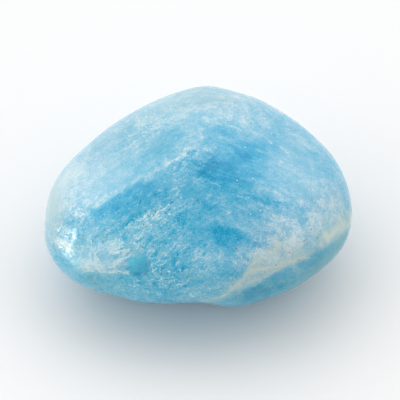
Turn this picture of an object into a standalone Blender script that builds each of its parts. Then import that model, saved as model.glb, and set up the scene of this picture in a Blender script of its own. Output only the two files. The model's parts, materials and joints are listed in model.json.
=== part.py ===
"""A tumbled aquamarine: one pebble of milky blue beryl, worn round and polished in a barrel.

Blender 4.5, in metres, +Z up. Run it with: blender --background --python part.py
The stone lies on its worn flat. The origin is on the ground, under the middle of its box.
"""

import math

import bmesh
import bpy
import numpy as np
from mathutils import Vector, noise

MM = 0.001

# The stone's reach from its middle, before its flats are worn. Its length comes from the outline.
HALF_DEPTH = 12.0 * MM
HALF_HEIGHT = 8.1 * MM

# The broad face looks forward and up, at this angle above the ground. The outline below is the
# stone's edge as it is seen square on to that face.
FACE_PITCH = math.radians(55)

# The outline in millimetres, right and up from the stone's middle, counter-clockwise.
OUTLINE_MM = (
    (15.0, -2.6),
    (14.85, 0.1),
    (14.1, 2.5),
    (12.7, 4.7),
    (10.45, 6.85),
    (7.45, 8.8),
    (4.7, 9.95),
    (0.6, 10.75),
    (-3.6, 9.75),
    (-8.5, 7.15),
    (-12.05, 4.0),
    (-14.15, 1.4),
    (-14.95, -1.5),
    (-15.0, -4.45),
    (-13.7, -6.9),
    (-11.35, -8.65),
    (-7.3, -9.8),
    (-5.75, -10.2),
    (-3.4, -10.4),
    (0.6, -10.5),
    (3.5, -10.8),
    (6.15, -10.1),
    (10.15, -8.5),
    (13.6, -5.75),
)
OUTLINE_STEPS = 12

# How full the faces are between the middle and the edge: 2 is an ellipse, and more is flatter.
FULLNESS = 2.3

# Flats worn on the stone: name, the direction they face (right, up, out of the face), how deep
# they are cut below the stone's reach that way, and how softly they run out.
FLATS = (
    ("crown", (-0.05, 0.1, 1.0), 0.6 * MM, 0.5 * MM),
    ("front right", (0.39, -0.65, 0.65), 0.7 * MM, 0.22 * MM),
    ("front left", (-0.22, -0.74, 0.64), 0.55 * MM, 0.16 * MM),
    ("left end", (-0.62, -0.05, 0.78), 0.7 * MM, 0.3 * MM),
    ("right end", (0.72, 0.1, 0.69), 0.5 * MM, 0.35 * MM),
    ("left shoulder", (-0.42, 0.6, 0.68), 0.65 * MM, 0.35 * MM),
    ("right shoulder", (0.42, 0.62, 0.67), 0.6 * MM, 0.35 * MM),
    ("back", (0.1, 0.72, -0.69), 0.8 * MM, 0.4 * MM),
    ("back left", (-0.66, 0.32, -0.68), 0.8 * MM, 0.35 * MM),
    ("back right", (0.7, 0.2, -0.69), 0.8 * MM, 0.35 * MM),
    ("heel", (0.15, 0.2, -0.97), 0.7 * MM, 0.4 * MM),
    ("left keel", (-0.68, -0.35, -0.65), 0.7 * MM, 0.35 * MM),
    ("right keel", (0.6, -0.45, -0.66), 0.8 * MM, 0.35 * MM),
)

# The flat that the stone lies on.
REST_CUT = 1.0 * MM
REST_SOFTNESS = 0.25 * MM

# Shallow hollows left by old chips: their middle in millimetres (right, up) on the face, or on
# the far side of the stone behind it, how wide they are and how deep.
FACE_CHIPS = (
    ((-5.9, -6.5), 1.3 * MM, 0.28 * MM),
    ((-9.6, -5.6), 2.2 * MM, 0.25 * MM),
    ((6.4, -6.4), 2.4 * MM, 0.15 * MM),
)
FAR_CHIPS = (
    ((6.5, 4.5), 2.6 * MM, 0.35 * MM),
    ((-7.5, 2.0), 2.2 * MM, 0.3 * MM),
    ((-3.0, 6.8), 1.8 * MM, 0.25 * MM),
)

# The slow unevenness of a worn stone, as height and as size of its swells.
SWELLS = ((0.22 * MM, 8.0 * MM), (0.08 * MM, 3.2 * MM))

# The sphere that is worn into the stone has 20 * 4 ** (SPHERE_STEPS - 1) triangles.
SPHERE_STEPS = 5

MILKY_BLUE = (0.24, 0.56, 0.72, 1.0)


def clear_scene():
    for obj in list(bpy.data.objects):
        bpy.data.objects.remove(obj, do_unlink=True)


def smooth_loop(points, steps):
    """Points on the closed Catmull-Rom curve through the points."""
    corners = np.array(points)
    before, after, beyond = (np.roll(corners, shift, axis=0) for shift in (1, -1, -2))
    t = (np.arange(steps) / steps)[:, None, None]
    curve = 0.5 * (
        2 * corners
        + (after - before) * t
        + (2 * before - 5 * corners + 4 * after - beyond) * t**2
        + (3 * corners - before - 3 * after + beyond) * t**3
    )
    return curve.transpose(1, 0, 2).reshape(-1, 2)


def outline_reach(angles):
    """How far the outline is from the stone's middle in each of these directions."""
    curve = smooth_loop(OUTLINE_MM, OUTLINE_STEPS) * MM
    around = np.arctan2(curve[:, 1], curve[:, 0])
    order = np.argsort(around)
    reach = np.hypot(curve[:, 0], curve[:, 1])
    return np.interp(angles, around[order], reach[order], period=2 * math.pi)


def unit_sphere():
    """(points, triangles) of an even sphere."""
    ball = bmesh.new()
    bmesh.ops.create_icosphere(ball, subdivisions=SPHERE_STEPS, radius=1.0)
    points = np.array([vertex.co for vertex in ball.verts])
    triangles = [[vertex.index for vertex in face.verts] for face in ball.faces]
    ball.free()
    return points, triangles


def lens_of(sphere):
    """The sphere's points moved to a full lens that has the outline: right, up, out of the face.

    The lens is the ellipsoid with the stone's half sizes, drawn from its outline. Seen square on
    to its face, the edge of such an ellipsoid lies in a plane that leans back, and its near and
    far sides stand out from that plane.
    """
    sine, cosine = math.sin(FACE_PITCH), math.cos(FACE_PITCH)
    edge_rise = (HALF_HEIGHT / HALF_DEPTH) ** 2 * cosine / sine
    lean = (edge_rise * sine - cosine) / (sine + edge_rise * cosine)
    half_thickness = 1 / math.hypot(cosine / HALF_DEPTH, sine / HALF_HEIGHT)

    share = np.minimum(np.hypot(sphere[:, 0], sphere[:, 1]), 1.0)
    angles = np.arctan2(sphere[:, 1], sphere[:, 0])
    reach = outline_reach(angles) * share
    right, up = reach * np.cos(angles), reach * np.sin(angles)
    stand_out = half_thickness * (1 - share**FULLNESS) ** (1 / FULLNESS)
    return np.stack([right, up, lean * up + np.sign(sphere[:, 2]) * stand_out], axis=1)


def wear_flat(points, direction, depth, softness):
    """Wears the points down to a plane across this direction, with a soft edge."""
    normal = np.array(Vector(direction).normalized())
    height = points @ normal
    over = height - (height.max() - depth)
    worn = softness * np.logaddexp(0, over / softness)
    return points - worn[:, None] * normal


def hollow_chip(points, middle_mm, width, depth):
    """Presses a shallow round hollow straight into these points of one side."""
    away = np.hypot(*(points[:, :2] - np.array(middle_mm) * MM).T)
    pressed = depth * np.exp(-((away / width) ** 4))
    return points - pressed[:, None] * (0, 0, 1)


def swell(points, outwards, height, size):
    """Raises and lowers the points by a slow noise with swells of this height and size."""
    raised = np.array([noise.noise(Vector(point / size)) for point in points])
    return points + (height * raised)[:, None] * outwards


def worn_points(sphere):
    points = lens_of(sphere)
    half_sizes = np.abs(points).max(axis=0)
    outwards = points / half_sizes**2
    outwards /= np.linalg.norm(outwards, axis=1)[:, None]
    for height, size in SWELLS:
        points = swell(points, outwards, height, size)
    for _, direction, depth, softness in FLATS:
        points = wear_flat(points, direction, depth, softness)
    for side, chips in ((1, FACE_CHIPS), (-1, FAR_CHIPS)):
        on_side = side * sphere[:, 2] > 0
        for middle_mm, width, depth in chips:
            points[on_side] = hollow_chip(points[on_side], middle_mm, width, side * depth)
    return points


def laid_down(points):
    """The points turned from (right, up, out of the face) to the stone's place on the ground."""
    right, up, out = points.T
    sine, cosine = math.sin(FACE_PITCH), math.cos(FACE_PITCH)
    return np.stack([right, up * sine - out * cosine, up * cosine + out * sine], axis=1)


def lie_on_flat(points):
    """Wears the flat that the stone lies on, and puts it on the ground under the box's middle."""
    rest_height = points[:, 2].min() + REST_CUT
    points = wear_flat(points, (0, 0, -1), REST_CUT, REST_SOFTNESS)
    points[:, 2] = np.maximum(points[:, 2], rest_height + REST_SOFTNESS / 2)
    lowest, highest = points.min(axis=0), points.max(axis=0)
    origin = [(lowest[0] + highest[0]) / 2, (lowest[1] + highest[1]) / 2, lowest[2]]
    return points - origin


def beryl():
    material = bpy.data.materials.new("milky_aquamarine")
    material.use_nodes = True
    finish = material.node_tree.nodes["Principled BSDF"].inputs
    finish["Base Color"].default_value = MILKY_BLUE
    finish["Roughness"].default_value = 0.18
    finish["Metallic"].default_value = 0.0
    finish["IOR"].default_value = 1.58
    return material


def tumbled_stone():
    sphere, triangles = unit_sphere()
    points = lie_on_flat(laid_down(worn_points(sphere)))
    mesh = bpy.data.meshes.new("aquamarine")
    mesh.from_pydata(points.tolist(), [], triangles)
    mesh.materials.append(beryl())
    mesh.shade_smooth()
    stone = bpy.data.objects.new("aquamarine", mesh)
    bpy.context.scene.collection.objects.link(stone)
    return stone


clear_scene()
tumbled_stone()
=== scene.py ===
# %% [markdown]
# # A tumbled aquamarine
# The real thing is one pebble of beryl, milky blue, turned in a barrel with finer and finer grit
# until it is round and glossy. It has no parts to put together, so all the work is in two things:
# the worn surface, and the colours that lie in the stone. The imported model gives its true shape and
# size. This lesson takes a copy of it, wears the fine marks into that, and then mixes the stone.

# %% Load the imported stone
import json
import math
import bmesh
import bpy
from mathutils import Matrix, Vector
from mathutils.bvhtree import BVHTree

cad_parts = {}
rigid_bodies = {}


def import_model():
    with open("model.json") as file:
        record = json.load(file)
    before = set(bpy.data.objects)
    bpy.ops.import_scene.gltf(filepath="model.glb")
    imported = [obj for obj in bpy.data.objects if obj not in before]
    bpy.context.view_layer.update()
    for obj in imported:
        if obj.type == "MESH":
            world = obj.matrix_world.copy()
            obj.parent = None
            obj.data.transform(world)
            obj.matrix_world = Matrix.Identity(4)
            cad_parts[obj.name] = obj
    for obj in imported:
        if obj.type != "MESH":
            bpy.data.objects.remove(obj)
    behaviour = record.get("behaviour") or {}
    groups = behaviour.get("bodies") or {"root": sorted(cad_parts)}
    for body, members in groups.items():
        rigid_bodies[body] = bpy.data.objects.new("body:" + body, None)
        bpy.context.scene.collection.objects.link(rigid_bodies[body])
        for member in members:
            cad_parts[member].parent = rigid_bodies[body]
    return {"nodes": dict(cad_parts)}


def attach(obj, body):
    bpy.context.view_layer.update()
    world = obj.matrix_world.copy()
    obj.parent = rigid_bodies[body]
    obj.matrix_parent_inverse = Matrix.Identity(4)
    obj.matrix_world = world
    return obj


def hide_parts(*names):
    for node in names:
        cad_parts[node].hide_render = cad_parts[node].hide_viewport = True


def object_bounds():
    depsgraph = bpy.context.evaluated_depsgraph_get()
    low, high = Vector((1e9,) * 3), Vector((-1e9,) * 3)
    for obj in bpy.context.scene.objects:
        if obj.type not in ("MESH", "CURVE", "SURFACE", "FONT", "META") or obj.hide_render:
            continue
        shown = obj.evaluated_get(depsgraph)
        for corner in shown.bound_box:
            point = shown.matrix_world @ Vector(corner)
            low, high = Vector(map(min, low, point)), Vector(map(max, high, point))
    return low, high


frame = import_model()
cad_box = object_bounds()
cad_stone = frame["nodes"]["aquamarine"]
MM = 0.001
cad_size = (cad_box[1] - cad_box[0]) / MM
print("packed stone, mm:", [round(side, 2) for side in cad_size])

# %% [markdown]
# ## A frame on the stone's broad face
# The stone lies on a worn flat, and its broad face looks forward and up. Marks on that face are
# easiest to place in millimetres right, up and out from the middle of the face. One turn about X
# goes from the ground to that frame, so the same matrix can serve the meshes and the shader.

# %% Turn the ground's frame into the face's
FACE_PITCH = math.radians(55)
turn_to_face = Matrix.Rotation(FACE_PITCH - math.radians(90), 4, "X")
turned = [turn_to_face @ vertex.co for vertex in cad_stone.data.vertices]
middle = [(min(p[axis] for p in turned) + max(p[axis] for p in turned)) / 2 for axis in range(3)]
middle[0] = 0.0
to_face = Matrix.Scale(1 / MM, 4) @ Matrix.Translation(-Vector(middle)) @ turn_to_face
from_face = to_face.inverted()
print("the stone's middle, once it is turned, mm:", [round(m / MM, 2) for m in middle])

# %% [markdown]
# ## The smooth body
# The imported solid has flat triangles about 0.8 mm wide. A polished stone has none that show, so a
# copy of the mesh is welded and given a Subdivision Surface, which rounds it and leaves enough
# points, about 0.18 mm apart, to carry the marks that come next.

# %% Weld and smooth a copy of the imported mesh
WELD = 0.001 * MM
SMOOTH_LEVELS = 2


def welded_copy(mesh, name):
    copy = bpy.data.meshes.new(name)
    bm = bmesh.new()
    bm.from_mesh(mesh)
    bmesh.ops.remove_doubles(bm, verts=bm.verts, dist=WELD)
    bm.to_mesh(copy)
    bm.free()
    return copy


def evaluated_mesh(obj, name):
    """The object's mesh as its modifiers leave it, with the modifiers taken off."""
    bpy.context.view_layer.update()
    depsgraph = bpy.context.evaluated_depsgraph_get()
    mesh = bpy.data.meshes.new_from_object(obj.evaluated_get(depsgraph))
    mesh.name = name
    obj.modifiers.clear()
    obj.data = mesh
    return mesh


stone = bpy.data.objects.new("polished_stone", welded_copy(cad_stone.data, "polished_stone"))
bpy.context.scene.collection.objects.link(stone)
smooth = stone.modifiers.new("smooth", "SUBSURF")
smooth.levels = smooth.render_levels = SMOOTH_LEVELS
body = evaluated_mesh(stone, "polished_stone")
print("smooth body:", len(body.vertices), "points,", len(body.polygons), "faces")

# %% [markdown]
# ## Find a place on the stone
# A mark that is placed by where it shows on the face still has to sit on the stone. A ray from in
# front of the face, straight in, gives the third number. A ray from behind gives the far side's.

# %% Drop points onto the stone
FAR_AWAY = 100.0
surface = BVHTree.FromPolygons(
    [to_face @ vertex.co for vertex in body.vertices],
    [polygon.vertices for polygon in body.polygons],
)


def on_face(right, up, side=1):
    """(right, up, out) in mm, of the face's surface there, or with side -1 of the far side's."""
    start = Vector((right, up, side * FAR_AWAY))
    hit = surface.ray_cast(start, Vector((0, 0, -side)))[0]
    if hit is None:
        hit = surface.find_nearest(Vector((right, up, 0)))[0]
    return hit


print("middle of the face is at", [round(x, 2) for x in on_face(0, 0)])

# %% [markdown]
# ## Wiring nodes in Python
# A finish like this one is over a thousand nodes. Wired by hand they can't be read again, so one
# small class wraps a socket: sums on it add Math nodes, and any other node comes from one method.

# %% A socket that does arithmetic
class Wire:
    """A socket of the tree that is being made. Sums on it add Math nodes."""

    tree = None

    def __init__(self, socket):
        self.socket = socket

    @classmethod
    def node(cls, kind, settings=None, sockets=None, out=0):
        """Adds a node, sets its settings and then its sockets, and gives one of its outputs."""
        made = cls.tree.nodes.new(kind)
        for name, value in (settings or {}).items():
            if name == "stops":
                cls.set_stops(made.color_ramp.elements, value)
            else:
                setattr(made, name, value)
        for key, value in (sockets or {}).items():
            if isinstance(value, Wire):
                cls.tree.links.new(value.socket, made.inputs[key])
            else:
                made.inputs[key].default_value = value
        return cls(made.outputs[out])

    @staticmethod
    def set_stops(elements, stops):
        while len(elements) < len(stops):
            elements.new(1.0)
        for element, (position, colour) in zip(elements, stops):
            element.position = position
            element.color = colour

    def maths(self, operation, *others):
        sockets = dict(enumerate((self, *others)))
        return Wire.node("ShaderNodeMath", {"operation": operation}, sockets)

    def __add__(self, other):
        return self.maths("ADD", other)

    __radd__ = __add__

    def __mul__(self, other):
        return self.maths("MULTIPLY", other)

    __rmul__ = __mul__

    def __sub__(self, other):
        return self.maths("SUBTRACT", other)

    def __rsub__(self, other):
        return (self * -1) + other

    def __truediv__(self, other):
        return self.maths("DIVIDE", other)

    def __rtruediv__(self, other):
        return Wire.node("ShaderNodeMath", {"operation": "DIVIDE"}, {0: other, 1: self})

    def limited(self):
        """The value, kept between 0 and 1."""
        return self.maths("MAXIMUM", 0.0).maths("MINIMUM", 1.0)


# %% [markdown]
# ## The few nodes that come again and again
# A smooth step cuts a soft edge anywhere in a value, and a noise is the start of nearly every
# natural pattern. Each gets a short name here, so that a line of the finish reads as what it draws.
# The two numbers that a step is given are where it starts and where it is through.

# %% Steps, noises and mixes
def vectors(operation, *values, out=0):
    """A Vector Math node on these values."""
    sockets = dict(enumerate(values))
    return Wire.node("ShaderNodeVectorMath", {"operation": operation}, sockets, out)


def dot(place, direction):
    """How far a place is along this direction."""
    return vectors("DOT_PRODUCT", place, direction, out="Value")


def distance(place, other):
    return vectors("DISTANCE", place, other, out="Value")


def combined(value):
    """The same value on all three axes."""
    return Wire.node("ShaderNodeCombineXYZ", None, {0: value, 1: value, 2: value})


def step(value, low, high, top=1.0):
    """0 below low, top above high, and a smooth rise between them. It falls if low is the higher."""
    rising = high > low
    sockets = {"Value": value, "From Min": min(low, high), "From Max": max(low, high)}
    sockets["To Min"] = 0.0 if rising else top
    sockets["To Max"] = top if rising else 0.0
    return Wire.node("ShaderNodeMapRange", {"interpolation_type": "SMOOTHSTEP"}, sockets)


def noise(place, size, detail=4.0, roughness=0.55, out=0):
    """Clouds whose lumps are about this size, in the unit of the place."""
    settings = {"noise_type": "FBM", "normalize": True}
    sockets = {"Vector": place, "Scale": 1 / size, "Detail": detail, "Roughness": roughness}
    return Wire.node("ShaderNodeTexNoise", settings, sockets, out)


def mix(base, over, share, blend="MIX"):
    """The base colour, with this share of the other over it."""
    settings = {"data_type": "RGBA", "blend_type": blend}
    return Wire.node("ShaderNodeMix", settings, {0: share, 6: base, 7: over}, 2)


def total(values):
    """The sum of these values."""
    result = None
    for value in values:
        result = value if result is None else result + value
    return result


# %% [markdown]
# ## The marks of the barrel
# A tumbled stone is never as smooth as it looks. Slow ripples bend its reflections, small bruises
# and pits are left from the coarse grit, and where a flake came off late there is a nick with a
# curved wall. All of them follow the surface, so one Geometry Nodes tree moves the body's points
# along their normals. Its sizes are inputs, so that each can be turned up alone to see what it does.

# %% Where the marks sit
# Right and up on the face, in mm. The nick grows deeper the way it faces, up to its wall.
CRUMPLE_AT = (-13.1, -4.3)
NICK_AT = (-5.85, -6.55)
NICK_FACES = (0.72, -0.69)
LEDGE_FROM = (-10.6, -7.55)
LEDGE_TO = (-6.5, -7.3)
LEDGE_MIDDLE = (-8.6, -7.4)
print("the nick's middle, in the face's frame, mm:", [round(x, 2) for x in on_face(*NICK_AT)])

# %% [markdown]
# ## Smaller faces where the marks are fine
# The folds of the crumple and the wall of the nick are finer than the body's faces. Only there are
# the edges halved, which costs far fewer points than one more level over the whole stone.

# %% Halve the edges near the fine marks
FINE_SPOTS = ((CRUMPLE_AT, 2.9, 2), (NICK_AT, 1.9, 2), (LEDGE_MIDDLE, 2.4, 1))


def refine(mesh, spots):
    """Halves the edges near each spot (place on the face, reach in mm, how many times)."""
    bm = bmesh.new()
    bm.from_mesh(mesh)
    for spot, reach, times in spots:
        centre = from_face @ on_face(*spot)
        for _ in range(times):
            near = {v for v in bm.verts if (v.co - centre).length < reach * MM}
            edges = [edge for edge in bm.edges if near.issuperset(edge.verts)]
            bmesh.ops.subdivide_edges(bm, edges=edges, cuts=1, use_grid_fill=True)
    bm.to_mesh(mesh)
    bm.free()


refine(body, FINE_SPOTS)
print("refined body:", len(body.vertices), "points")

# %% [markdown]
# ## The sizes of the marks
# The deepest mark, the nick, is a fifth of a millimetre deep, and the ripples are far shallower.
# They are that shallow on the real stone too: polish shows a bump long before a finger feels it.
# Vectors that lie on the face are turned into the ground's frame, in which the mesh is.

# %% Sizes and places of the marks
RIPPLE = {"Ripple Height": 0.030 * MM, "Ripple Size": 2.2 * MM}
PEEL = {"Peel Height": 0.012 * MM, "Peel Size": 0.7 * MM}
CRUMPLE = {"Crumple Height": 0.12 * MM, "Crumple Size": 0.7 * MM, "Crumple Reach": 1.6 * MM}
PITS = {"Pit Density": 55_000.0, "Pit Width": 0.42 * MM, "Pit Depth": 0.035 * MM}
NICK = {"Nick Reach": 1.25 * MM, "Nick Depth": 0.22 * MM}
LEDGE = {"Ledge Depth": 0.16 * MM, "Ledge Width": 0.35 * MM}
WEAR_SEED = 7
# The marks fade out this close to the ground, so that the flat the stone lies on stays flat.
FLAT_GUARD = 0.35 * MM

nick_towards = (from_face.to_3x3() @ Vector((*NICK_FACES, 0.0))).normalized()
ledge_middle = (from_face @ on_face(*LEDGE_FROM) + from_face @ on_face(*LEDGE_TO)) / 2
ledge_along = (from_face @ on_face(*LEDGE_TO) - from_face @ on_face(*LEDGE_FROM)) / 2
ledge_down = ledge_along.cross(from_face.to_3x3() @ Vector((0, 0, 1))).normalized()
SPOTS = {
    "Crumple Middle": from_face @ on_face(*CRUMPLE_AT),
    "Nick Middle": from_face @ on_face(*NICK_AT),
    "Nick Towards": nick_towards,
    "Ledge Middle": ledge_middle,
    "Ledge Along": ledge_along / ledge_along.length_squared,
    "Ledge Down": ledge_down,
}
print("the ledge is", round(ledge_along.length * 2 / MM, 2), "mm long")

# %% [markdown]
# ## Open the wear tree
# A Geometry Nodes tree is a modifier that is drawn as nodes. Its sizes and places become inputs
# with names. The stone's material is made now, still empty, because the tree's last node puts it on
# the mesh.

# %% Open the wear tree
beryl = bpy.data.materials.new("milky_aquamarine")
wear_tree = bpy.data.node_groups.new("barrel wear", "GeometryNodeTree")
interface = wear_tree.interface
interface.new_socket("Geometry", in_out="INPUT", socket_type="NodeSocketGeometry")
for name in (*RIPPLE, *PEEL, *CRUMPLE, *PITS, *NICK, *LEDGE):
    interface.new_socket(name, in_out="INPUT", socket_type="NodeSocketFloat")
for name in SPOTS:
    interface.new_socket(name, in_out="INPUT", socket_type="NodeSocketVector")
interface.new_socket("Seed", in_out="INPUT", socket_type="NodeSocketInt")
interface.new_socket("Geometry", in_out="OUTPUT", socket_type="NodeSocketGeometry")
Wire.tree = wear_tree
given = wear_tree.nodes.new("NodeGroupInput").outputs
size = {name: Wire(given[name]) for name in given.keys() if name}
point = Wire.node("GeometryNodeInputPosition")
normal = Wire.node("GeometryNodeInputNormal")


def waves(height, wave_size, detail):
    """A noise that goes up and down from 0 by the input of this height."""
    settings = {"noise_type": "FBM", "normalize": True}
    sockets = {"Vector": point, "Scale": 1 / size[wave_size], "Detail": detail}
    raw = Wire.node("ShaderNodeTexNoise", settings, sockets)
    return (raw - 0.5) * 2 * size[height]


print("wear tree:", len(size), "inputs")

# %% [markdown]
# ## The crumple
# At the left end the skin is folded like foil, and catches the light in many small points. The
# absolute value of a noise has a crease wherever the noise passes through 0, which makes such folds.

# %% Crumple
near = distance(point, size["Crumple Middle"]) / size["Crumple Reach"]
folds = waves("Crumple Height", "Crumple Size", detail=4.0).maths("ABSOLUTE") * -1
crumple = folds * step(near, 1.0, 0.45)
print("wear tree with the crumple:", len(wear_tree.nodes), "nodes")

# %% [markdown]
# ## The nick
# A flake came off here late, and left a hollow like a thumb's print: a floor that slopes down one
# way, and a curved wall where it ends. A soft disc gives the hollow, and the distance along the way
# it faces, squared, makes its floor slope. A little noise keeps the rim from being a circle.

# %% Nick
nick_offset = vectors("SUBTRACT", point, size["Nick Middle"])
rim_away = vectors("LENGTH", nick_offset, out="Value") / size["Nick Reach"]
rim_away = rim_away + waves("Nick Depth", "Crumple Size", detail=2.0) / size["Nick Reach"]
slope = (dot(nick_offset, size["Nick Towards"]) / size["Nick Reach"] + 1) * 0.5
nick = step(rim_away, 1.0, 0.7) * slope * slope * size["Nick Depth"]
print("wear tree with the nick:", len(wear_tree.nodes), "nodes")

# %% [markdown]
# ## The ledge
# Under the pale facet an old break leaves a low step. It is measured along a line and down from it:
# the skin drops over the ledge's width and comes back slowly, and both ends run out.

# %% Ledge
LEDGE_UNEVEN = 8
LEDGE_RETURN = 9.0
from_ledge = vectors("SUBTRACT", point, size["Ledge Middle"])
ledge_reach = dot(from_ledge, size["Ledge Along"])
below = dot(from_ledge, size["Ledge Down"])
below = (below + waves("Peel Height", "Crumple Size", detail=3.0) * LEDGE_UNEVEN) / size["Ledge Width"]
beside = step(ledge_reach.maths("ABSOLUTE"), 1.15, 0.8)
ledge = step(below, 0.0, 1.0) * step(below, LEDGE_RETURN, 1.0) * beside * size["Ledge Depth"]
print("wear tree with the ledge:", len(wear_tree.nodes), "nodes")

# %% [markdown]
# ## The pits
# The coarse grit leaves a few small bruises on every side. Points are strewn on the faces with a
# fixed seed, and the skin sinks around each. That keeps the pits round wherever they are, and their
# number is one input.

# %% Pits
pit_sockets = {"Mesh": size["Geometry"], "Density": size["Pit Density"], "Seed": size["Seed"]}
pit_points = Wire.node("GeometryNodeDistributePointsOnFaces", None, pit_sockets)
away = Wire.node(
    "GeometryNodeProximity",
    {"target_element": "POINTS"},
    {"Geometry": pit_points, "Sample Position": point},
    "Distance",
)
pits = step(away / size["Pit Width"], 1.0, 0.2) * size["Pit Depth"]
print("wear tree with the pits:", len(wear_tree.nodes), "nodes")

# %% [markdown]
# ## Ripples, and the end of the tree
# The whole skin has slow ripples and a finer peel, as every barrel leaves them. They and the marks
# add up to one push along the normal. It fades out near the ground, where the stone lies flat.

# %% Push the skin and close the tree
height_above = Wire.node("ShaderNodeSeparateXYZ", None, {0: point}, "Z")
free = step(height_above, 0.0, FLAT_GUARD)
height = waves("Ripple Height", "Ripple Size", detail=2.0)
height = height + waves("Peel Height", "Peel Size", detail=3.0)
push = (height + crumple - pits - nick - ledge) * free
moved = Wire.node(
    "GeometryNodeSetPosition",
    None,
    {"Geometry": size["Geometry"], "Offset": vectors("MULTIPLY", normal, combined(push))},
)
real = Wire.node("GeometryNodeRealizeInstances", None, {"Geometry": moved})
finished = Wire.node("GeometryNodeSetMaterial", None, {"Geometry": real, "Material": beryl})
wear_tree.links.new(finished.socket, wear_tree.nodes.new("NodeGroupOutput").inputs[0])
print("wear tree, closed:", len(wear_tree.nodes), "nodes")

# %% [markdown]
# ## Wear the stone
# The modifier takes every size by its input's identifier, before the stone is first evaluated. The
# result becomes a plain mesh and the modifier goes, so that nothing later depends on it.

# %% Wear the stone
wear = stone.modifiers.new("barrel wear", "NODES")
wear.node_group = wear_tree
wear_sizes = {**RIPPLE, **PEEL, **CRUMPLE, **PITS, **NICK, **LEDGE, **SPOTS, "Seed": WEAR_SEED}
for item in interface.items_tree:
    if item.in_out == "INPUT" and item.name in wear_sizes:
        wear[item.identifier] = wear_sizes[item.name]
worn = evaluated_mesh(stone, "polished_stone")
worn.shade_smooth()
print("worn stone:", len(worn.vertices), "points,", len(worn.polygons), "faces")

# %% [markdown]
# ## The stone's colours
# Aquamarine is clear blue, and this one is full of tiny cracks and bubbles that healed as the
# crystal grew. They scatter the light: where they are thin the blue is deep, and where they crowd
# it is pale. So one number, the milk, goes from deep blue to white, and a ramp turns it into
# colour. Clouds of noise give the milk its texture, and pools, veils and threads give it its plan.

# %% Colours
def paint(red, green, blue):
    """A colour read as screen values, turned by the sRGB curve into the light a shader takes."""
    def light(value):
        share = value / 255
        return share / 12.92 if share <= 0.04045 else ((share + 0.055) / 1.055) ** 2.4
    return (light(red), light(green), light(blue), 1.0)


MILK_RAMP = (
    (0.0, paint(0, 134, 182)),
    (0.13, paint(8, 148, 192)),
    (0.28, paint(42, 161, 200)),
    (0.5, paint(92, 177, 209)),
    (0.72, paint(140, 193, 216)),
    (1.0, paint(204, 223, 229)),
)
CREAM = paint(200, 212, 202)
# Mostly painted shade, for where the stone turns away from the light.
DUSK_AND_SHADE = paint(104, 166, 173)
# Partly painted sheen: the pale reflection along the upper edge and rims, and partly the stone's own
# grey.
PEARL_AND_SHEEN = paint(172, 196, 203)
SEA_TINT = (0.94, 1.10, 1.05, 1.0)
RUST = paint(150, 88, 0)
NICK_FLOOR = paint(96, 204, 230)
# Painted shade for the nick's wall and the far end of its floor.
NICK_SHADE_BLUE = paint(0, 124, 168)
FLECK = paint(222, 220, 158)
# Painted glints: white points where the light catches.
GLINT_WHITE = paint(235, 243, 246)
print("the milk ramp goes through", len(MILK_RAMP), "blues")

# %% [markdown]
# ## A place in the stone
# The colours lie in the stone and must not slide over it, so they are drawn in object coordinates,
# turned and scaled to millimetres on the face with the same numbers as before. Nothing in a grown
# stone has a ruled edge, so most marks read a place that noises have moved about first: bent by
# slow ones, and rough-bent by a finer one as well.

# %% Open the finish and read the place
def stone_place():
    """Millimetres right, up and out from the middle of the face, as a vector."""
    ground = Wire.node("ShaderNodeTexCoord", None, None, "Object")
    turn = {
        "Location": Vector(middle) / -MM,
        "Rotation": turn_to_face.to_euler(),
        "Scale": (1 / MM, 1 / MM, 1 / MM),
    }
    return Wire.node("ShaderNodeMapping", {"vector_type": "POINT"}, {"Vector": ground, **turn})


def drifted(place, size, amount, detail=3.0):
    """The place, moved about by a noise, so that what is drawn there looks grown."""
    colour = noise(place, size, detail, out="Color")
    centred = vectors("SUBTRACT", colour, (0.5, 0.5, 0.5))
    scaled = vectors("MULTIPLY", centred, (amount, amount, amount))
    return vectors("ADD", place, scaled)


beryl.use_nodes = True
Wire.tree = beryl.node_tree
Wire.tree.nodes.clear()
place = stone_place()
bent = drifted(drifted(place, size=4.5, amount=1.0), size=0.9, amount=0.5)
rough_bent = drifted(bent, size=0.45, amount=0.3, detail=2.0)
print("finish, with its places:", len(Wire.tree.nodes), "nodes")

# %% [markdown]
# ## Grain and cotton
# Beryl grows in long straight columns, and its cracks heal along them, so the milk is streaked. On
# the left of this stone the streaks rise to the right, and on its right they fall. A noise that is
# read in a turned and stretched place gives such a grain. Soft cotton, mottle and a fine speckle
# lie over it, each smaller than the last.

# %% Grain and cotton
# The turn of the streaks on the left and on the right, in degrees.
RISING = 33
FALLING = -22


def grain(turn, length, width, detail, roughness=0.6, source=bent):
    """A noise with lumps this long and wide, in mm, whose length is turned by these degrees."""
    laid_out = {"Rotation": (0, 0, math.radians(turn)), "Scale": (length, width, width)}
    laid = Wire.node("ShaderNodeMapping", {"vector_type": "TEXTURE"}, {"Vector": source, **laid_out})
    return noise(laid, 1.0, detail, roughness)


right_part = step(dot(place, (1, 0.35, 0)), -4.0, 3.0)
left_part = 1 - right_part
rising = grain(RISING, 2.4, 1.2, detail=5.0, roughness=0.65) - 0.5
falling = grain(FALLING, 2.8, 0.9, detail=5.0, roughness=0.65) - 0.5
along_grain = rising * left_part + falling * right_part
cotton = noise(bent, size=1.4, detail=5.0, roughness=0.64) - 0.5
mottle = noise(rough_bent, size=0.5, detail=4.0, roughness=0.7) - 0.5
speckle = noise(place, size=0.13, detail=2.0, roughness=0.6) - 0.5
print("finish, with its grain:", len(Wire.tree.nodes), "nodes")
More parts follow.
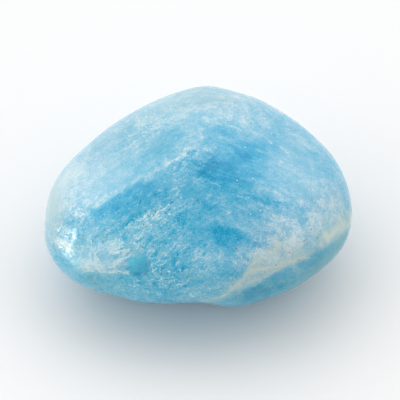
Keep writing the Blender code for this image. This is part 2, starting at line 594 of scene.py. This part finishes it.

# %% [markdown]
# ## The plan of the blue pools and the pale clouds
# Where the stone is clear its blue is deep, and where it is full of healed cracks it is pale. Both
# are drawn as ellipsoids that lie on the face and are turned with the grain. A few pale clouds are
# partly painted light instead: rim light at the left and lower left, and a highlight at the left end.

# %% The plan of the milk
# Middle (right, up) and half sizes (along, across) in mm, turn in degrees, and strength.
POOLS = (
    ((-0.2, 3.3), (1.1, 0.5), 5, 0.45),
    ((1.9, 2.3), (2.0, 1.0), -18, 0.86),
    ((4.6, 4.5), (1.3, 0.7), -5, 0.55),
    ((3.9, 3.6), (1.2, 0.7), -15, 0.30),
    ((5.2, 1.8), (1.3, 0.4), -15, 0.30),
    ((-6.6, 0.0), (2.2, 0.8), 27, 0.40),
    ((-7.3, -0.4), (1.2, 0.6), 27, 0.12),
    ((-9.5, -1.6), (1.4, 0.7), 25, 0.45),
    ((-4.0, 1.3), (1.3, 0.4), 27, 0.25),
    ((-2.0, 3.0), (0.8, 0.4), 20, 0.15),
    ((2.4, -3.8), (2.0, 0.9), -20, 0.65),
    ((0.5, -0.6), (1.7, 0.8), -22, 0.18),
    ((2.3, 0.7), (1.6, 0.6), -20, 0.20),
    ((-1.6, -1.8), (0.8, 0.9), 0, 0.20),
    ((-3.2, 4.9), (2.2, 0.85), 36, 0.46),
    ((-7.1, 5.9), (1.0, 0.6), 20, 0.22),
    ((2.7, 6.2), (1.1, 0.5), -12, 0.20),
    ((7.2, 5.3), (0.9, 0.9), -20, 0.15),
    ((6.9, -0.8), (2.2, 0.3), -9, 0.50),
    ((6.2, -0.2), (1.1, 0.5), -9, 0.15),
    ((10.9, 3.1), (2.0, 1.4), -30, 0.22),
    ((-5.3, -7.3), (0.9, 0.6), 30, 0.50),
    ((-7.7, -8.1), (2.5, 0.6), -4, 0.08),
    ((-9.8, -8.6), (1.6, 0.6), -20, 0.10),
    ((-1.9, -6.9), (1.8, 0.8), 0, 0.36),
    ((-3.5, -9.4), (1.6, 0.6), 0, 0.30),
    ((0.2, -8.2), (1.2, 0.9), 0, 0.08),
    ((5.3, -9.7), (2.2, 0.9), 15, 0.45),
    ((6.9, -8.5), (2.2, 0.9), 30, 0.38),
    ((10.9, -6.4), (2.5, 0.8), 40, 0.20),
    ((1.9, -7.8), (0.8, 0.7), 0, 0.25),
    ((-6.9, -2.5), (1.8, 0.9), 20, 0.16),
)
# Most are the stone's milk. A few are painted light, marked below.
CLOUDS_AND_PAINTED_LIGHT = (
    ((-9.6, 2.2), (5.5, 3.0), 38, 0.19),
    ((0.6, 9.1), (6.3, 2.0), 0, 0.24),
    ((11.1, 2.4), (6.1, 3.3), -68, 0.24),
    ((6.2, 7.5), (2.9, 1.8), -35, 0.13),
    ((9.0, -2.2), (3.4, 2.2), 0, 0.16),
    ((13.9, -2.5), (1.4, 1.6), 0, 0.15),
    ((8.2, -5.0), (3.1, 1.2), 30, 0.34),
    ((-9.3, -5.3), (3.0, 1.4), -4, 0.12),
    ((-11.2, -7.0), (1.2, 1.0), 0, 0.03),
    ((-2.2, 6.7), (1.8, 1.2), 0, 0.14),
    ((3.3, 6.7), (2.4, 1.2), -20, 0.14),
    ((8.4, 2.8), (1.8, 2.2), -60, 0.10),
    ((5.6, 0.8), (1.7, 0.8), -9, 0.10),
    ((6.4, -3.3), (2.5, 1.0), 10, 0.16),
    ((2.3, -8.4), (1.2, 0.8), 0, 0.20),
    ((0.5, -6.2), (1.2, 1.4), 0, 0.14),
    ((9.6, -7.0), (1.2, 0.8), 30, 0.18),
    ((3.3, -6.2), (2.4, 1.0), 0, 0.19),
    ((-3.0, -5.6), (1.2, 0.8), 0, 0.08),
    ((-0.6, 4.4), (1.3, 1.2), 0, 0.13),
    # Pale left rim, partly painted rim light.
    ((-14.1, -1.1), (1.5, 3.3), 0, 0.36),
    ((-10.4, -2.6), (2.6, 1.3), 15, 0.11),
    ((-4.1, -2.2), (1.5, 0.9), 20, 0.22),
    ((0.6, -9.9), (2.4, 0.4), 8, 0.10),
    ((-4.0, 7.7), (2.4, 1.2), 30, 0.10),
    ((2.9, 7.7), (1.6, 1.0), 0, 0.10),
    ((-12.4, 2.4), (1.4, 2.5), -40, 0.15),
    # Painted light: brightens the lower-left rim, where the light falls off.
    ((-10.2, -7.1), (1.6, 1.0), -15, 0.25),
    ((5.1, -4.6), (1.4, 1.2), 0, 0.12),
    ((12.8, -0.9), (1.8, 2.4), 0, 0.10),
    ((-6.0, -4.3), (2.2, 1.2), 0, 0.11),
    # Painted highlight: a solid white core where the crumple shines.
    ((-12.9, -4.7), (1.0, 0.42), -30, 0.5),
    ((-11.8, 1.8), (2.0, 2.4), 0, 0.14),
    ((2.3, -0.5), (2.0, 0.8), -15, 0.08),
    ((-8.5, -3.9), (1.6, 1.6), 0, 0.07),
)
FAR_POOLS = (
    ((-6.5, 3.0), (2.6, 1.1), -25, 0.5),
    ((4.5, 1.5), (3.0, 1.2), 20, 0.45),
    ((8.5, -3.5), (1.8, 1.0), 10, 0.4),
    ((-2.5, -2.5), (2.4, 0.8), 15, 0.4),
)
print(len(POOLS), "pools,", len(CLOUDS_AND_PAINTED_LIGHT), "clouds and", len(FAR_POOLS), "pools on the far side")

# %% [markdown]
# ## A soft ellipsoid
# A Mapping node turns and scales the place, so that the ellipsoid becomes a ball, and a spherical
# gradient falls from 1 in the ball's middle to 0 at its edge, which gives the distance. Maths on
# single coordinates would say the same with more nodes. Few nodes matter: the renderer can keep only
# some 250 numbers of one material in hand, and shows a material that needs more as plain black.

# %% Draw a soft ellipsoid, and many
# How far a blot goes into the stone, in mm, and how many half sizes away its gradient ends.
POOL_THROUGH = 7.0
BLOT_REACH = 4.0


def fading(squared, rate=1.0):
    """1 at a squared distance of 0, and fading out with it, as a bell does."""
    return Wire.node("ShaderNodeMath", {"operation": "POWER"}, {0: math.exp(-rate), 1: squared})


def blot(place, centre, half_sizes, turn, side=1, even=False):
    """1 in the middle of an ellipsoid laid on the stone, and fading outwards. Even: by its edge."""
    settings = {"vector_type": "TEXTURE"}
    sockets = {
        "Vector": place,
        "Location": on_face(*centre, side),
        "Rotation": (0, 0, math.radians(turn)),
        "Scale": tuple(BLOT_REACH * half for half in (*half_sizes, POOL_THROUGH)),
    }
    inside = Wire.node("ShaderNodeMapping", settings, sockets)
    ball = Wire.node("ShaderNodeTexGradient", {"gradient_type": "SPHERICAL"}, {"Vector": inside}, "Fac")
    reach = ball.maths("MULTIPLY_ADD", -BLOT_REACH, BLOT_REACH)
    squared = reach * reach
    if even:
        return fading(squared, 0.45).maths("MULTIPLY_ADD", 0.5, step(squared, 1.5, 0.5, 0.5))
    return fading(squared)


def gathered(place, marks, side=1, even=False):
    """The sum of blots, each given as its middle, half sizes, turn and strength."""
    result = 0.0
    for *shape, strength in marks:
        result = blot(place, *shape, side, even).maths("MULTIPLY_ADD", strength, result)
    return result


# %% [markdown]
# ## Pools and clouds
# A pool's rim is combed out along the grain, like feathers, so the place that it reads is pushed to
# and fro along the grain by a stretched noise. The clouds need no more than the bent place.

# %% Pools and clouds
def pushed_along(turn, amount):
    """A push by this amount in the direction that is turned by these degrees."""
    direction = (math.cos(math.radians(turn)), math.sin(math.radians(turn)), 0)
    return vectors("MULTIPLY", combined(amount), direction)


comb_left = (grain(RISING, 3.0, 0.5, detail=5.0) - 0.5) * left_part * 4.0
comb_right = (grain(FALLING, 3.0, 0.4, detail=5.0) - 0.5) * right_part * 5.0
feathers = vectors("ADD", pushed_along(RISING, comb_left), pushed_along(FALLING, comb_right))
feathered = vectors("ADD", drifted(bent, size=0.8, amount=0.7, detail=6.0), feathers)
pools = gathered(feathered, POOLS, even=True) + gathered(feathered, FAR_POOLS, side=-1, even=True)
# The clouds include painted rim light and one painted highlight.
clouds = gathered(bent, CLOUDS_AND_PAINTED_LIGHT)
print("finish, with its pools and clouds:", len(Wire.tree.nodes), "nodes")

# %% [markdown]
# ## The veil
# A healed crack runs through the stone as a thin sheet. On its upper side the milk is pale, its edge
# on the face is a broken white line, and beneath it lies a dark wedge of clear blue. The distance
# from a tilted plane gives all three, each with a soft step of its own.

# %% The veil and the dark wedge
VEIL_THROUGH = (-5.5, 1.3)
VEIL_RISING = 29
VEIL_TILT = 20
VEIL_LEFT_END = (-13.0, -9.0)
WEDGE_BLUE = 0.12
WEDGE_COTTON = 2.4


def sheet_distance(place, through, rising, tilt):
    """How far a place is above a plane through the stone, in mm. The plane rises to the right."""
    along, lean = math.radians(rising), math.radians(tilt)
    across = Vector((-math.sin(along), math.cos(along), 0)) * math.cos(lean)
    across.z = math.sin(lean)
    height = dot(place, across)
    return height - on_face(*through).dot(across)


veil_bent = drifted(drifted(bent, size=2.2, amount=1.3), size=0.8, amount=0.6, detail=5.0)
above_veil = sheet_distance(veil_bent, VEIL_THROUGH, VEIL_RISING, VEIL_TILT)
to_right = dot(place, (1, 0, 0))
veil_here = step(to_right, 1.5, -1.0) * step(to_right, *VEIL_LEFT_END)
pale_side = step(above_veil, -0.05, 0.25) * step(above_veil, 4.0, 0.3) * veil_here
veil_breaks = step(noise(place, size=0.9), 0.40, 0.58)
veil_line = step(above_veil, -0.1, 0.1) * step(above_veil, 0.55, 0.06)
veil_line = veil_line * (0.3 + veil_breaks * 0.7) * veil_here
under_veil = step(above_veil, 0.0, -0.4) * step(above_veil, -4.0, -0.8)
under_veil = under_veil * step(to_right, -1.0, -5.0) * step(to_right, *VEIL_LEFT_END)
deep = (pools + under_veil * (WEDGE_BLUE + cotton * WEDGE_COTTON)).limited()
print("finish, with its veil:", len(Wire.tree.nodes), "nodes")

# %% [markdown]
# ## Tubes, nets and strings
# Beryl is known for fine hollow tubes along its length, seen here as pale lines in the blue. Where
# cracks met they left nets, and between them single strings. A noise is near its middle only along
# thin winding lines, which are strings, and the edges between Voronoi cells are a net. Each comes in
# two sizes, and another noise chooses which is seen.

# %% Tubes, nets and strings
STRING_ZONES = (
    ((-6.0, 6.3), (2.8, 2.0), 30, 0.9),
    ((-1.4, 3.4), (2.2, 1.3), 30, 0.8),
    ((-12.0, -1.6), (2.2, 1.4), 20, 0.7),
    ((-7.0, -2.6), (3.2, 1.4), 20, 0.6),
    ((-2.7, -7.6), (4.2, 2.0), 0, 0.6),
    ((1.0, 9.0), (2.2, 2.2), 0, 0.25),
    ((8.2, -2.2), (3.0, 2.4), -30, 0.3),
    ((-3.9, -2.4), (1.8, 1.2), 20, 0.4),
)


def strings(size, thin):
    field = noise(rough_bent, size, detail=1.0, roughness=0.5)
    return step((field - 0.5).maths("ABSOLUTE"), thin, 0.0)


def crackle(size, thin):
    sockets = {"Vector": rough_bent, "Scale": 1 / size}
    edge = Wire.node("ShaderNodeTexVoronoi", {"feature": "DISTANCE_TO_EDGE"}, sockets, "Distance")
    return step(edge, thin / size, 0.0)


tubes = step(grain(FALLING, 5.0, 0.3, 2.0, 0.5, place), 0.52, 0.72) * right_part
streaks = step(grain(36, 2.5, 0.22, 2.0, 0.5, rough_bent), 0.55, 0.75) * left_part
string_zone = 0.1 + gathered(bent, STRING_ZONES)
wide = step(noise(place, size=0.8, detail=3.0), 0.44, 0.56)
narrow = 1 - wide
net = crackle(1.7, 0.10) * wide + crackle(0.9, 0.08) * narrow
winding = strings(1.5, 0.035) * wide + strings(0.75, 0.05) * narrow
strung = (net * 0.7 + winding).maths("MINIMUM", 1.2) * string_zone
print("finish, with its nets and strings:", len(Wire.tree.nodes), "nodes")

# %% [markdown]
# ## Painted glints and hairlines
# Small pits and bubbles catch the light as white points, and these glints are painted as colour.
# They are the middles of Voronoi cells, and each cell's own colour, which is random, says whether it
# has one. The few long white hairlines are drawn where they lie, as the distance from a line through
# points of the surface. The busy zones say where the painted glints, and the strokes and shards of
# the next step, crowd together.

# %% Painted glints and hairlines
STAR_SPACING = 0.55
HAIRLINE = 0.1
WHITE_THREADS = (
    ((-0.3, 9.7), (2.2, 7.4)),
    ((3.1, 6.9), (4.6, 6.0)),
    ((5.3, 6.2), (7.1, 5.0)),
    ((7.5, 5.1), (8.6, 4.2)),
    ((5.0, 4.7), (7.2, 3.8)),
    ((9.3, -1.0), (8.7, -2.3), (8.5, -2.9), (9.1, -4.1)),
    ((-2.1, 2.5), (0.2, 1.6), (2.8, 0.1), (5.4, -0.7)),
)
BUSY_ZONES = (
    ((-3.3, -7.2), (4.2, 2.8), 0, 1.0),
    ((-4.7, -1.5), (6.0, 2.4), 25, 0.7),
    ((-0.8, 3.6), (2.4, 1.6), 0, 0.5),
    ((-4.9, 5.5), (2.6, 1.6), 30, 0.45),
    ((-12.6, -3.9), (1.8, 1.8), 0, 0.4),
    ((5.0, -9.0), (3.0, 1.2), 10, 0.2),
)


def thread(place, points, width):
    """1 on a line through these points of the surface, and fading over its width."""
    spots = [on_face(*point) for point in points]
    nearest = None
    for start, end in zip(spots, spots[1:]):
        run = end - start
        from_start = vectors("SUBTRACT", place, start)
        share = dot(from_start, run / run.length_squared).limited()
        foot = vectors("MULTIPLY", run, combined(share))
        away = distance(from_start, foot)
        nearest = away if nearest is None else nearest.maths("MINIMUM", away)
    reach = nearest / width
    return fading(reach * reach)


starry = {"Vector": place, "Scale": 1 / STAR_SPACING}
star_away = Wire.node("ShaderNodeTexVoronoi", None, starry, "Distance")
star_pick = dot(Wire.node("ShaderNodeTexVoronoi", None, starry, "Color"), (1, 0, 0))
# Painted glints: white points where pits and bubbles catch the light.
star_glints = step(star_away, 0.24, 0.12) * step(star_pick, 0.7, 0.9)
hairlines = total(thread(veil_bent, points, HAIRLINE) for points in WHITE_THREADS)
busy = 0.62 + gathered(bent, BUSY_ZONES)
print("finish, with its stars and hairlines:", len(Wire.tree.nodes), "nodes")

# %% [markdown]
# ## Strokes and shards
# In the lower left the crystal was crushed and healed. It looks like short brush strokes, light and
# dark, on a ground of flat shards. The strokes are a fine grain that is cut hard at its top and at
# its bottom. The shards are Voronoi cells, each with a value of its own.

# %% Strokes and shards
# The dark strokes read their noise this far away, so that they don't follow the light ones.
ELSEWHERE = (7, 3, 1)
SHARD_TURN = 40
SHARD_SIZE = (1.1, 0.5, 0.5)
curled = drifted(bent, size=1.2, amount=0.8, detail=2.0)
light_strokes = step(grain(42, 2.8, 0.22, 1.0, 0.4, curled), 0.61, 0.66)
curled_elsewhere = vectors("ADD", curled, ELSEWHERE)
dark_strokes = step(grain(36, 2.0, 0.34, 2.0, 0.5, curled_elsewhere), 0.40, 0.32)
strokes = light_strokes * 0.32 - dark_strokes * 0.4
shards_laid = {"Rotation": (0, 0, math.radians(SHARD_TURN)), "Scale": SHARD_SIZE}
shards = Wire.node("ShaderNodeMapping", {"vector_type": "TEXTURE"}, {"Vector": curled, **shards_laid})
shards = Wire.node("ShaderNodeTexVoronoi", None, {"Vector": shards, "Scale": 1.0}, "Color")
shards = dot(shards, (1, 0, 0)) - 0.5
print("finish, with its strokes and shards:", len(Wire.tree.nodes), "nodes")

# %% [markdown]
# ## The texture, and where it is calm
# The grain, the cotton, the mottle and the speckle add up to one texture. In two parts of the real
# stone, upper right and upper left, it is much quieter, so those parts are marked.

# %% Texture and calm
texture = along_grain * 0.7 + cotton * 0.8 + mottle * 0.45 + speckle * 0.8
calm = blot(bent, (9.5, 3.5), (6.5, 4.5), -40) + blot(bent, (-9.5, 1.5), (4.0, 2.6), 35)
print("finish, with its texture:", len(Wire.tree.nodes), "nodes")

# %% [markdown]
# ## The pale facet
# Left of the nick is a flat, pale, frosted patch with a bright lower edge. Two axes on the face
# measure it, and soft steps on each cut out its shape. Just under its ledge a band of painted shade
# darkens the stone.

# %% The pale facet
FACET_MIDDLE = (-8.9, -6.3, 0)
# Painted shade: the stone is darker along this line, just under the ledge.
SHADE_UNDER_LEDGE = ((-12.4, -7.9), (-10.6, -8.0), (-8.6, -8.2), (-6.6, -8.0))
chipped = drifted(place, size=0.9, amount=0.6)
facet_place = vectors("SUBTRACT", chipped, FACET_MIDDLE)
facet_right = dot(facet_place, (1, -0.05, 0))
facet_up = dot(facet_place, (0.05, 1, 0))
facet = step(facet_up, -1.15, -1.0) * step(facet_up, 2.1, 0.8)
facet_here = step(facet_right, 2.45, 2.3) * step(facet_right, -3.2, -1.6)
facet = facet * facet_here
facet_block = facet * step(facet_right + facet_up * 0.4, -0.15, 0.1)
facet_edge = step((facet_up + 1.05).maths("ABSOLUTE"), 0.14, 0.0) * facet_here
shade_below_ledge = thread(bent, SHADE_UNDER_LEDGE, 0.5)
print("finish, with its facet:", len(Wire.tree.nodes), "nodes")

# %% [markdown]
# ## The colours of the nick
# The nick shows fresh stone: its floor is a clear, even blue, with painted shade that darkens it
# towards the wall, and its wall is painted darker, as shade, because it turns away from the light. The
# same middle and reach as in the wear tree put the colour where the hollow is.

# %% The nick's floor and wall
nick_reach = NICK["Nick Reach"] / MM
from_nick = vectors("SUBTRACT", chipped, on_face(*NICK_AT))
nick_away = vectors("LENGTH", from_nick, out="Value") / nick_reach
nick_along = dot(from_nick, (*NICK_FACES, 0))
nick_right = dot(from_nick, (0.97, 0.24, 0))
nick_up = dot(from_nick, (-0.24, 0.97, 0))
in_nick = step(nick_away, 1.1, 0.8) * step(nick_right, -0.85, -0.7) * step(nick_up, 1.3, 0.1)
# Painted shade across the floor, darker towards the wall.
nick_shade = step(nick_along, -0.8, 0.9)
# Painted shade on the nick's wall, where it turns away from the light.
nick_wall_shade = step(nick_away, 0.62, 0.95) * step(nick_away, 1.2, 1.0) * step(nick_along, 0.0, 0.9)
nick_wall_shade = nick_wall_shade * step(nick_up, 0.9, -0.5)
print("finish, with its nick:", len(Wire.tree.nodes), "nodes")

# %% [markdown]
# ## The milk
# Everything so far is a mask between 0 and 1, or a noise around 0. The milk is their sum: it starts
# in the middle of the ramp, and each line says how much a thing whitens the stone or clears it. The
# texture is quieter in the pools, in the calm parts, on the facet and in the nick.

# %% Add up the milk
PLAIN_MILK = 0.515
POOL_BLUE = 0.46
quiet = (1 - deep * 0.1) * (1 - calm * 0.5) * (1 - facet * 0.4) * (1 - in_nick * 0.8)
milk = (
    PLAIN_MILK
    # The clouds hold painted rim light and a painted highlight too.
    + clouds
    - deep * POOL_BLUE
    + texture * quiet
    + facet * (0.10 + shards * 0.32)
    + facet_block * 0.05
    + facet_edge * 0.15
    # painted shade under the ledge
    - shade_below_ledge * 0.08
    + pale_side * 0.04
    + veil_line * 0.25
    + tubes * (0.06 + blot(bent, (1.6, 1.1), (4.2, 3.0), -25) * 0.12)
    + streaks * 0.07
    + strung * 0.32
    + (strokes + shards * 0.2) * (busy - 0.5)
    # painted glints
    + star_glints * (busy - 0.45) * 0.6
    + hairlines * 0.2
)
ramp = Wire.node("ShaderNodeValToRGB", {"stops": MILK_RAMP}, {"Fac": milk.limited()})
print("finish, with its milk:", len(Wire.tree.nodes), "nodes")

# %% [markdown]
# ## Tints
# The ramp has only blues. The real stone is sea green at the lower left. Along its upper edge and
# rims it is pearly grey, which partly paints the sheen of the light there, and where it turns under it
# is dusky, which is mostly painted shade. Each tint is mixed in by zones of soft ellipsoids. The sea
# green multiplies the colour, so that what is drawn under it keeps its contrast.

# %% Tints
# Mostly painted shade where the stone turns away from the light, at its rims and lower right; in the
# upper left a dusky grey tint.
DUSK_AND_SHADE_ZONES = (
    ((12.4, -6.8), (4.4, 2.0), 40, 1.1),
    ((14.6, -4.6), (2.2, 4.6), -20, 1.0),
    ((6.0, -9.6), (6.0, 1.6), 12, 0.75),
    ((-9.6, -8.8), (5.0, 1.0), -12, 0.3),
    ((-14.3, -1.8), (1.2, 3.2), 0, 0.5),
    ((-3.8, 5.0), (5.5, 3.5), 30, 0.4),
    ((0.6, 10.0), (5.0, 1.2), 0, 0.3),
)
# Pale grey along the upper edge and rims, partly painted sheen of the light there and partly the stone's
# own grey.
PEARL_AND_SHEEN_ZONES = (
    ((-8.5, 6.0), (7.0, 2.6), 35, 0.4),
    ((1.0, 9.6), (6.0, 1.6), 0, 0.4),
    ((-14.3, -0.5), (1.5, 4.0), 0, 0.5),
    ((-3.8, 5.0), (5.5, 3.5), 30, 0.15),
    ((-10.8, -7.2), (3.6, 2.0), -20, 0.22),
)
SEA_ZONES = (
    ((-9.8, -7.2), (4.5, 2.6), -12, 1.0),
    ((-6.5, -3.6), (7.0, 3.0), 10, 0.55),
    ((-1.5, -8.4), (7.0, 2.4), 0, 0.65),
)
dusk_and_shade = gathered(bent, DUSK_AND_SHADE_ZONES)
pearl_and_sheen = gathered(bent, PEARL_AND_SHEEN_ZONES)
# Partly painted sheen along the upper edge and rims.
colour = mix(ramp, PEARL_AND_SHEEN, pearl_and_sheen)
colour = mix(colour, SEA_TINT, gathered(bent, SEA_ZONES) * (1 - facet * 0.65), "MULTIPLY")
# The dusky colour is mostly painted shade.
colour = mix(colour, DUSK_AND_SHADE, (dusk_and_shade * (0.7 + cotton * 1.5)).limited() * 0.72)
print("finish, with its tints:", len(Wire.tree.nodes), "nodes")

# %% [markdown]
# ## The cream band
# A warm band of stained, healed cracks crosses the lower right, and frays into strands. Three wide
# threads and a narrow core draw it, and two hazes fill it. The veil's line has a little of it too.

# %% The cream band
CREAM_THREADS = (
    ((14.9, -2.2), (11.9, -4.2), (9.0, -6.2), (7.0, -6.9), (5.1, -7.3), (3.0, -9.1), (0.3, -10.2)),
    ((8.2, -6.5), (6.5, -7.7), (4.2, -8.8)),
    ((7.7, -4.8), (5.9, -5.8), (4.7, -7.9)),
)
CREAM_WIDTH = 0.48
CREAM_CORE = 0.14
cream_line = total(thread(veil_bent, points, CREAM_WIDTH) for points in CREAM_THREADS).limited()
cream_haze = blot(veil_bent, (8.8, -5.4), (3.4, 1.0), 30) * 0.55
cream_haze = cream_haze + blot(veil_bent, (13.4, -3.1), (2.2, 0.8), 35) * 0.7
cream_core = thread(veil_bent, CREAM_THREADS[0], CREAM_CORE)
cream = cream_line * (0.6 + mottle * 1.2) + cream_haze * (0.7 + cotton * 1.5) + cream_core * 0.35
colour = mix(colour, CREAM, (cream + veil_line * 0.22).limited() * 0.9)
print("finish, with its cream band:", len(Wire.tree.nodes), "nodes")

# %% [markdown]
# ## Flecks
# Beside the cracks lie small yellow grains of clay. A fine noise that is cut near its top gives
# flecks, and a wider one thins them out into groups.

# %% Flecks
FLECK_ZONES = (
    ((0.5, -8.4), (5.0, 1.8), 0, 1.0),
    ((-11.0, -4.6), (3.0, 1.8), -10, 1.0),
    ((-4.4, -2.2), (2.2, 1.2), 10, 1.0),
    ((-4.5, -6.2), (3.0, 2.0), 40, 0.8),
)
flecks = step(noise(rough_bent, size=0.24, detail=1.0, roughness=0.5), 0.63, 0.69)
flecks = flecks * step(noise(place, size=1.1, detail=2.0), 0.46, 0.56)
colour = mix(colour, FLECK, (flecks * gathered(bent, FLECK_ZONES)).limited() * 0.75)
print("finish, with its flecks:", len(Wire.tree.nodes), "nodes")

# %% [markdown]
# ## Paint the nick
# The nick's floor colour and its painted shade go over everything that was drawn so far: the floor
# because its stone is fresh, the shade because it falls on that floor and wall.

# %% Paint the nick
colour = mix(colour, NICK_FLOOR, in_nick * (0.7 + mottle * 1.4))
# Painted shade: the floor darkens towards the wall.
colour = mix(colour, NICK_SHADE_BLUE, in_nick * nick_shade * 0.4)
# Painted shade on the wall.
colour = mix(colour, NICK_SHADE_BLUE, nick_wall_shade * 0.65)
print("finish, with the nick painted:", len(Wire.tree.nodes), "nodes")

# %% [markdown]
# ## Rust specks and painted glints
# A few pits hold a grain of rust, and a few points catch the light right under the polish, as white
# glints that are painted. They are so few that each has its own place. The distance from the nearest
# one draws them all with one step.

# %% Rust specks and painted glints
RUST_SPECKS = (
    (-14.3, -5.4), (-4.3, -4.9), (-5.3, -5.0), (-4.1, -1.6), (-5.2, -2.8), (-9.8, -4.1),
    (-10.1, -4.4), (-8.7, -3.8), (-9.1, -4.5), (-11.1, -4.2), (-3.0, -8.3), (-5.1, -7.5),
    (1.9, -9.2), (10.8, -3.3), (11.4, -4.1), (10.1, -4.4), (7.4, -6.7), (5.8, -4.9),
    (4.7, -6.2), (3.6, -5.1), (7.2, -8.9), (9.6, -6.2), (8.7, -5.5), (0.7, -10.2), (-0.1, -0.5),
)
GLINT_SPOTS = (
    (4.5, 4.6), (7.1, 6.0), (7.0, 5.0), (5.2, 1.6), (3.7, 1.4), (5.9, -1.5), (5.0, -1.8), (2.9, -1.7),
)
RUST_RADIUS = 0.095
GLINT_RADIUS = 0.085


def dots(place, spots, radius):
    """1 on each of these small spots of the surface."""
    nearest = None
    for spot in spots:
        away = distance(place, on_face(*spot))
        nearest = away if nearest is None else nearest.maths("MINIMUM", away)
    return step(nearest, radius, radius * 0.4)


colour = mix(colour, RUST, dots(drifted(place, size=0.15, amount=0.12), RUST_SPECKS, RUST_RADIUS))
# Painted glints: white points where the light catches.
colour = mix(colour, GLINT_WHITE, dots(place, GLINT_SPOTS, GLINT_RADIUS) * 0.8)
print(len(RUST_SPECKS), "rust specks and", len(GLINT_SPOTS), "bubbles")

# %% [markdown]
# ## The polish
# The skin is glossy, a little more so at the left end, where the crumple shines. Under it the stone
# lets some light in, which comes out again nearby, red less than blue. A bump that is too fine for
# the mesh breaks the shine up as the last polish left it.

# %% The polished skin
BUMP_SIZE = 0.3
BUMP_HEIGHT = 0.03 * MM
BERYL_BENDS_LIGHT = 1.58
SHINY_END = (-12.9, -4.2)
GLOW_REACH = (0.6, 1.0, 1.3)
relief = noise(place, BUMP_SIZE, detail=3.0, roughness=0.6)
bump = Wire.node("ShaderNodeBump", None, {"Strength": 0.5, "Distance": BUMP_HEIGHT, "Height": relief})
shiny = blot(place, SHINY_END, (2.0, 2.4), 0)
skin = Wire.node(
    "ShaderNodeBsdfPrincipled",
    None,
    {
        "Base Color": colour,
        "Normal": bump,
        "Specular IOR Level": 0.32,
        "Roughness": (0.3 - noise(bent, size=2.0) * 0.16) * (1 - shiny * 0.6),
        "IOR": BERYL_BENDS_LIGHT,
        "Subsurface Weight": 0.25,
        "Subsurface Radius": GLOW_REACH,
        "Subsurface Scale": 0.6 * MM,
    },
)
Wire.tree.links.new(skin.socket, Wire.tree.nodes.new("ShaderNodeOutputMaterial").inputs[0])
print("finish, closed:", len(Wire.tree.nodes), "nodes")

# %% [markdown]
# ## The floor
# The stone was cut out of its picture, so it lies on plain pale paper here. The paper is a hair
# below the ground, so that it can't cut into the resting flat.

# %% Floor
FLOOR_HALF = 600 * MM
FLOOR_GAP = 0.01 * MM
PAPER_WHITE = (0.85, 0.85, 0.85, 1)
PAPER_ROUGHNESS = 0.9
corners = [(x * FLOOR_HALF, y * FLOOR_HALF, -FLOOR_GAP) for x, y in ((-1, -1), (1, -1), (1, 1), (-1, 1))]
floor_mesh = bpy.data.meshes.new("floor")
floor_mesh.from_pydata(corners, [], [(0, 1, 2, 3)])
floor = bpy.data.objects.new("floor", floor_mesh)
bpy.context.scene.collection.objects.link(floor)
paper = bpy.data.materials.new("white paper")
paper.use_nodes = True
paper.node_tree.nodes["Principled BSDF"].inputs["Base Color"].default_value = PAPER_WHITE
paper.node_tree.nodes["Principled BSDF"].inputs["Roughness"].default_value = PAPER_ROUGHNESS
floor_mesh.materials.append(paper)
print("floor:", round(2 * FLOOR_HALF, 2), "m wide")

# %% [markdown]
# ## A card for the crumple
# The crumple shines because something bright stands low on its side. A small rectangular area light
# does that: it is reflected there and nowhere else, and gives no hard shadow.

# %% Card on the left
CARD_PLACE = (-346.0, -68.0, 32.0)
CARD_SIDES = (44.0, 22.0)
CARD_POWER = 0.13
card = bpy.data.lights.new("left card", "AREA")
card.shape = "RECTANGLE"
card.size, card.size_y = (side * MM for side in CARD_SIDES)
card.energy = CARD_POWER
lamp = bpy.data.objects.new("left card", card)
lamp.location = Vector(CARD_PLACE) * MM
lamp.rotation_euler = (-lamp.location).to_track_quat("-Z", "Y").to_euler()
bpy.context.scene.collection.objects.link(lamp)
print("the card is", round(lamp.location.length, 3), "m away")

# %% [markdown]
# ## The light tent
# A stone like this is photographed in a light tent, which is white all round and brightest above.
# The world stands for the tent: its brightness rises towards the top, and it has a dim hole where
# the camera looks in, or the broad face would shine all over.

# %% Light tent
TENT_TOP = Vector((-0.07, -0.12, 0.98)).normalized()
TENT_DARK = 0.37
TENT_BRIGHT = 2.28
CAMERA_HOLE = 0.8
out_of_face = from_face.to_3x3() @ Vector((0, 0, 1)) / MM
tent = bpy.data.worlds.new("light tent")
tent.use_nodes = True
Wire.tree = tent.node_tree
direction = Wire.node("ShaderNodeTexCoord", None, None, "Generated")
towards_top = dot(direction, TENT_TOP)
towards_camera = dot(direction, out_of_face)
brightness = TENT_DARK + step(towards_top, -0.15, 0.9) * (TENT_BRIGHT - TENT_DARK)
brightness = brightness * (1 - step(towards_camera, 0.45, 0.9) * CAMERA_HOLE)
background = tent.node_tree.nodes["Background"].inputs
background["Color"].default_value = (1, 1, 1, 1)
tent.node_tree.links.new(brightness.socket, background["Strength"])
bpy.context.scene.world = tent
bpy.context.scene.view_settings.view_transform = "Standard"
print("the tent goes from", TENT_DARK, "to", TENT_BRIGHT)

# %% [markdown]
# ## The camera
# It looks straight down on the broad face, from far enough for the stone to keep its proportions.
# The lens is worked out from the picture's scale, so that 30 mm of stone span 306 pixels.

# %% Camera
CAMERA_AWAY = 300.0
PIXELS = 400
MM_PER_PIXEL = 30 / 306
AIM = (0.159, -0.473)
camera_data = bpy.data.cameras.new("camera")
camera_data.lens = camera_data.sensor_width * CAMERA_AWAY / (PIXELS * MM_PER_PIXEL)
camera_data.clip_start = 10 * MM
camera = bpy.data.objects.new("camera", camera_data)
camera.location = from_face @ Vector((*AIM, CAMERA_AWAY))
camera.rotation_euler = turn_to_face.inverted().to_euler()
bpy.context.scene.collection.objects.link(camera)
bpy.context.scene.camera = camera
print("lens:", round(camera_data.lens, 1), "mm")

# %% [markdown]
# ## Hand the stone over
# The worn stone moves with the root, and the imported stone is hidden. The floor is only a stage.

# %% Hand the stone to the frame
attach(stone, "root")
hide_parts("aquamarine")
